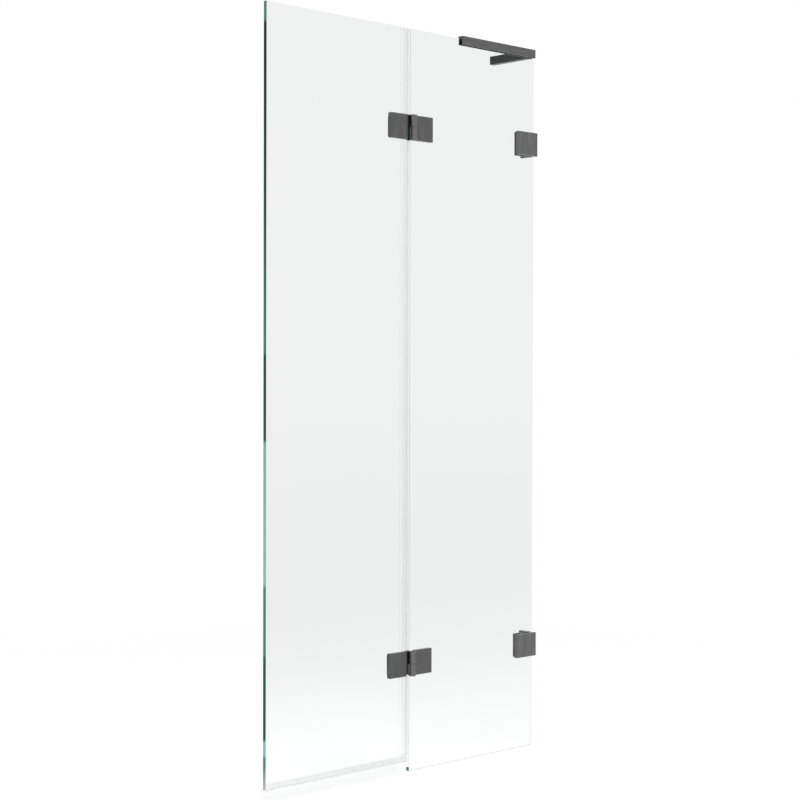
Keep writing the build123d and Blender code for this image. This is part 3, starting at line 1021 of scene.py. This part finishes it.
class SCREEN_OT_stabiliser(bpy.types.Operator):
    """Model the stabiliser's two arms"""

    bl_idname = "screen.stabiliser"
    bl_label = "Stabiliser"

    def execute(self, context):
        metal, sizes = context.scene.screen_metal, context.scene.screen_fittings
        edge = metal.edge_round
        low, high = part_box("stabiliser_channel_arm")
        arm = block("stabiliser_channel_arm_made", low, high)
        soften(arm, edge, 3)
        half = sizes.slot_width / 2
        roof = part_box("stabiliser_channel_liner")[1].z
        slot_low = (low.x - REACH, -half, low.z - REACH)
        cut(arm, block("slot", slot_low, (high.x + REACH, half, roof)))
        screw_low, screw_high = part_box("stabiliser_glass_set_screws")
        radius = (screw_high.z - screw_low.z) / 2
        z = (screw_high.z + screw_low.z) / 2
        for x in (screw_low.x + radius, screw_high.x - radius):
            cut(arm, rod("hole", (x, 0.0, z), (x, high.y + REACH, z), radius + CLOSE_FIT))
        smooth(arm)
        # Painted light: this arm's gunmetal is a slightly lighter copy.
        material = brushed_gunmetal(metal, "gunmetal_brushed_along_glass_painted_light", ALONG_GLASS, 1.05)
        finish_piece(arm, [material], ["stabiliser_channel_arm"], FIXED)
        low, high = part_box("stabiliser_wall_arm")
        arm = block("stabiliser_wall_arm_made", low, high)
        soften(arm, edge, 3)
        rail_low, rail_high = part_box("stabiliser_wall_rail")
        space = Vector((FREE_FIT, FREE_FIT, FREE_FIT))
        open_end = Vector((REACH, 0.0, 0.0))
        cut(arm, block("pocket", rail_low - space, rail_high + space + open_end))
        screw_low, screw_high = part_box("stabiliser_rail_set_screws")
        radius = (screw_high.x - screw_low.x) / 2
        x = (screw_high.x + screw_low.x) / 2
        for y in (screw_low.y + radius, screw_high.y - radius):
            ends = ((x, y, low.z - REACH), (x, y, rail_low.z))
            cut(arm, rod("hole", *ends, radius + CLOSE_FIT))
        smooth(arm)
        # Painted shade: this arm's gunmetal is a darker copy at 0.6 of the colour.
        material = brushed_gunmetal(metal, "gunmetal_brushed_along_wall_painted_shade", ALONG_WALL, 0.6)
        finish_piece(arm, [material], ["stabiliser_wall_arm"], FIXED)
        return {"FINISHED"}


class SCREEN_OT_screws(bpy.types.Operator):
    """Finish the screws, pins and wall rail"""

    bl_idname = "screen.screws"
    bl_label = "Screws and pins"

    def execute(self, context):
        steel = plain_steel(context.scene.screen_metal)
        for node in NODES:
            if node.endswith(("screws", "pin", "rail")):
                dress_node(node, steel)
        return {"FINISHED"}


# Seals


def clip(low, high, space):
    """A clip round a pane's edge: its box, and the space that it leaves for the pane."""
    piece = block("clip", low, high)
    cut(piece, block("space", *space))
    return piece


def hinge_seal(node, edge_x, sizes):
    """A clip over the moving pane's hinge edge with a hollow bulb beside it."""
    low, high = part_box(node)
    wall = sizes.seal_wall
    back = edge_x + wall
    space = (
        (low.x - REACH, low.y + wall, low.z - REACH),
        (edge_x + SEAL_FIT, high.y - wall, high.z + REACH),
    )
    piece = clip(low, (back, high.y, high.z), space)
    radius = (high.x - back + sizes.bulb_wall) / 2
    x = high.x - radius
    unite(piece, rod("bulb", (x, 0, low.z), (x, 0, high.z), radius, 40))
    ends = ((x, 0, low.z - REACH), (x, 0, high.z + REACH))
    cut(piece, rod("bore", *ends, radius - sizes.bulb_wall, 40))
    smooth(piece)
    piece.name = f"{node}_made"
    return piece


def mark_hinge_seal(piece, node, edge_x):
    """Puts the bulb's, the cut ends' and the back leg's materials on their faces."""
    low_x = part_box(node)[0].x
    for face in piece.data.polygons:
        leg = 0 if face.center.y < 0 else 3
        face.material_index = 1 if face.center.x > edge_x else leg
        if face.normal.x < -0.9 and face.center.x < low_x + OVERLAP:
            face.material_index = 2


def foot_seal(sizes):
    """A clip over the moving pane's foot with a leaning lip below it."""
    low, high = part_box("foot_seal")
    glass_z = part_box("moving_glass")[0].z
    wall = sizes.seal_wall
    space = (
        (low.x - REACH, low.y + wall, glass_z - SEAL_FIT),
        (high.x + REACH, high.y - wall, high.z + REACH),
    )
    piece = clip((low.x, low.y, glass_z - wall), high, space)
    half = sizes.lip_thick / 2
    lip = block("lip", (low.x, -half, low.z), (high.x, half, glass_z - wall / 2))
    pick(lip)
    for face in lip.data.polygons:
        face.select = face.normal.z < -0.9
    bpy.ops.object.mode_set(mode="EDIT")
    bpy.ops.mesh.select_mode(type="FACE")
    bpy.ops.transform.translate(value=(0, LIP_LEAN, 0))
    bpy.ops.object.mode_set(mode="OBJECT")
    unite(piece, lip)
    smooth(piece)
    piece.name = "foot_seal_made"
    return piece


def mark_foot_seal(piece):
    """Puts the cut ends' material on the ends and the clip's top."""
    high_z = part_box("foot_seal")[1].z
    for face in piece.data.polygons:
        top = face.normal.z > 0.9 and face.center.z > high_z - OVERLAP
        face.material_index = 2 if top or abs(face.normal.x) > 0.9 else 0


class SCREEN_OT_seals(bpy.types.Operator):
    """Model the clear seals"""

    bl_idname = "screen.seals"
    bl_label = "Clear seals"

    def execute(self, context):
        settings, sizes = context.scene.screen_seals, context.scene.screen_fittings
        rough = settings.roughness
        front = drawn_seal(settings, "clear_seal_front", UPRIGHT, settings.front, 1.0, rough)
        bulb = drawn_seal(settings, "milky_bulb", UPRIGHT, settings.milky, 0.95, 0.2)
        ends = drawn_seal(settings, "cut_seal_end", UPRIGHT, settings.milky, 0.1, 0.4)
        back = drawn_seal(settings, "clear_seal_back", UPRIGHT, settings.clear, 1.0, rough)
        edge_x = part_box("moving_glass")[1].x
        for name in ("lower", "middle", "upper"):
            node = f"hinge_seal_{name}"
            piece = hinge_seal(node, edge_x, sizes)
            finish_piece(piece, (front, bulb, ends, back), [node], MOVING)
            mark_hinge_seal(piece, node, edge_x)
        piece = foot_seal(sizes)
        foot = drawn_seal(settings, "clear_seal_foot", ALONG_GLASS, settings.foot, 1.0, rough)
        finish_piece(piece, (foot, bulb, ends), ["foot_seal"], MOVING)
        mark_foot_seal(piece)
        return {"FINISHED"}


class SCREEN_OT_soft_parts(bpy.types.Operator):
    """Finish the gaskets, liner, sleeves and bushes"""

    bl_idname = "screen.soft_parts"
    bl_label = "Gaskets and sleeves"

    def execute(self, context):
        settings = context.scene.screen_seals
        rubber = soft_plastic("rubber", settings.rubber, 0.65)
        nylon = soft_plastic("nylon", settings.nylon, 0.5)
        for node in NODES:
            if node.endswith(("gaskets", "liner")):
                dress_node(node, rubber)
            if node.endswith(("sleeves", "bush")):
                dress_node(node, nylon)
        return {"FINISHED"}


# Stage


def seen_rays(tree):
    """1 for rays that show the background, straight, mirrored or through glass."""
    path = tree.nodes.new("ShaderNodeLightPath")
    value = path.outputs["Is Camera Ray"]
    for name in ("Is Glossy Ray", "Is Transmission Ray"):
        value = math_node(tree, "MAXIMUM", value, path.outputs[name])
    return value


def mirrored_side(tree, share):
    """A share for mirrored rays that leave to the left and behind, and 1 for all others."""
    where = tree.nodes.new("ShaderNodeTexCoord")
    side = tree.nodes.new("ShaderNodeVectorMath")
    side.operation = "DOT_PRODUCT"
    side.inputs[1].default_value = (-0.72, 0.69, 0.0)
    tree.links.new(where.outputs["Generated"], side.inputs[0])
    facing = share_between(tree, side.outputs["Value"], 0.1, 0.8)
    path = tree.nodes.new("ShaderNodeLightPath")
    straight = math_node(tree, "SUBTRACT", 1.0, path.outputs["Is Transmission Ray"])
    mirrored = math_node(tree, "MULTIPLY", path.outputs["Is Glossy Ray"], straight)
    dark = math_node(tree, "MULTIPLY", facing, mirrored)
    return spread(tree, dark, 1.0, share)


def room(settings):
    """Even light from all round, with a white background."""
    world = bpy.context.scene.world or bpy.data.worlds.new("room")
    bpy.context.scene.world = world
    world.use_nodes = True
    tree = world.node_tree
    tree.nodes.clear()
    output = tree.nodes.new("ShaderNodeOutputWorld")
    shade = add_node(tree, "ShaderNodeBackground", Color=rgba(WHITE))
    strength = spread(tree, seen_rays(tree), settings.room_light, 1.0)
    strength = math_node(tree, "MULTIPLY", strength, mirrored_side(tree, settings.dark_side))
    tree.links.new(strength, shade.inputs["Strength"])
    tree.links.new(shade.outputs["Background"], output.inputs["Surface"])


def away_from_middle(tree, near, far):
    """0 within one distance of the middle of the floor and 1 past another."""
    where = tree.nodes.new("ShaderNodeTexCoord")
    length = tree.nodes.new("ShaderNodeVectorMath")
    length.operation = "LENGTH"
    tree.links.new(where.outputs["Object"], length.inputs[0])
    return share_between(tree, length.outputs["Value"], near, far)


def floor(settings):
    """A pale floor that shows white where it isn't in shadow."""
    deselect()
    bpy.ops.mesh.primitive_plane_add(size=settings.floor_size, location=(0, 0, -FLOOR_DROP))
    piece = bpy.context.object
    piece.name = "floor"
    material, tree, output = blank_material("pale_floor")
    matt = add_node(tree, "ShaderNodeBsdfDiffuse", Color=rgba(settings.floor_colour))
    glow = add_node(tree, "ShaderNodeEmission", Color=rgba(WHITE), Strength=1.1)
    white = add_node(tree, "ShaderNodeEmission", Color=rgba(WHITE), Strength=1.0)
    seen = seen_rays(tree)
    lit = spread(tree, seen, 0.0, 0.5)
    near = mix_shaders(tree, lit, matt.outputs["BSDF"], glow.outputs["Emission"])
    far = math_node(tree, "MULTIPLY", seen, away_from_middle(tree, 0.9, 2.2))
    shade = mix_shaders(tree, far, near, white.outputs["Emission"])
    tree.links.new(shade, output.inputs["Surface"])
    piece.data.materials.append(material)


def lamp(name, place, size, power):
    """A large square lamp that looks at the middle of the screen."""
    deselect()
    bpy.ops.object.light_add(type="AREA", location=place)
    light = bpy.context.object
    light.name = name
    light.data.size = size
    light.data.energy = power
    way = Vector(LAMP_TARGET) - Vector(place)
    light.rotation_euler = way.to_track_quat("-Z", "Y").to_euler()


def camera(settings):
    """The camera at the photograph's place."""
    deselect()
    bpy.ops.object.camera_add(location=settings.camera_place)
    shot = bpy.context.object
    shot.name = "camera"
    shot.data.sensor_width = 36.0
    shot.data.lens = settings.lens
    turn = Matrix.Rotation(settings.azimuth, 4, "Z")
    tilt = Matrix.Rotation(math.radians(90) + settings.pitch, 4, "X")
    lean = Matrix.Rotation(settings.roll, 4, "Z")
    shot.matrix_world = Matrix.Translation(settings.camera_place) @ turn @ tilt @ lean
    bpy.context.scene.camera = shot


class SCREEN_OT_stage(bpy.types.Operator):
    """Set the camera, floor, lamps and background"""

    bl_idname = "screen.stage"
    bl_label = "Stage"

    def execute(self, context):
        settings = context.scene.screen_stage
        context.scene.view_settings.view_transform = "Standard"
        room(settings)
        floor(settings)
        lamp("key_lamp", KEY_PLACE, KEY_SIZE, settings.key_power)
        lamp("fill_lamp", FILL_PLACE, FILL_SIZE, settings.fill_power)
        camera(settings)
        return {"FINISHED"}


class SCREEN_PT_panel(bpy.types.Panel):
    """Lists the steps and settings"""

    bl_idname = "SCREEN_PT_panel"
    bl_label = "Bath screen"
    bl_space_type = "VIEW_3D"
    bl_region_type = "UI"
    bl_category = "Bath screen"

    def draw(self, context):
        for step in STEPS:
            self.layout.operator(step.bl_idname)
        for group in GROUPS:
            settings = getattr(context.scene, group)
            column = self.layout.column()
            for name in settings.__annotations__:
                column.prop(settings, name)


GROUPS = {
    "screen_glass": GlassSettings,
    "screen_metal": MetalSettings,
    "screen_fittings": FittingSettings,
    "screen_seals": SealSettings,
    "screen_stage": StageSettings,
}
STEPS = (
    SCREEN_OT_stage,
    SCREEN_OT_panes,
    SCREEN_OT_hinges,
    SCREEN_OT_clamps,
    SCREEN_OT_stabiliser,
    SCREEN_OT_screws,
    SCREEN_OT_seals,
    SCREEN_OT_soft_parts,
)
CLASSES = (*GROUPS.values(), *STEPS, SCREEN_PT_panel)


def register():
    """Adds the classes and gives each scene its settings."""
    for kind in CLASSES:
        bpy.utils.register_class(kind)
    for name, kind in GROUPS.items():
        setattr(bpy.types.Scene, name, PointerProperty(type=kind))


def unregister():
    """Takes the settings and the classes away again."""
    for name in GROUPS:
        delattr(bpy.types.Scene, name)
    for kind in reversed(CLASSES):
        bpy.utils.unregister_class(kind)


def main():
    """Runs every step."""
    register()
    for step in STEPS:
        family, name = step.bl_idname.split(".")
        getattr(getattr(bpy.ops, family), name)()


if __name__ == "__main__":
    main()
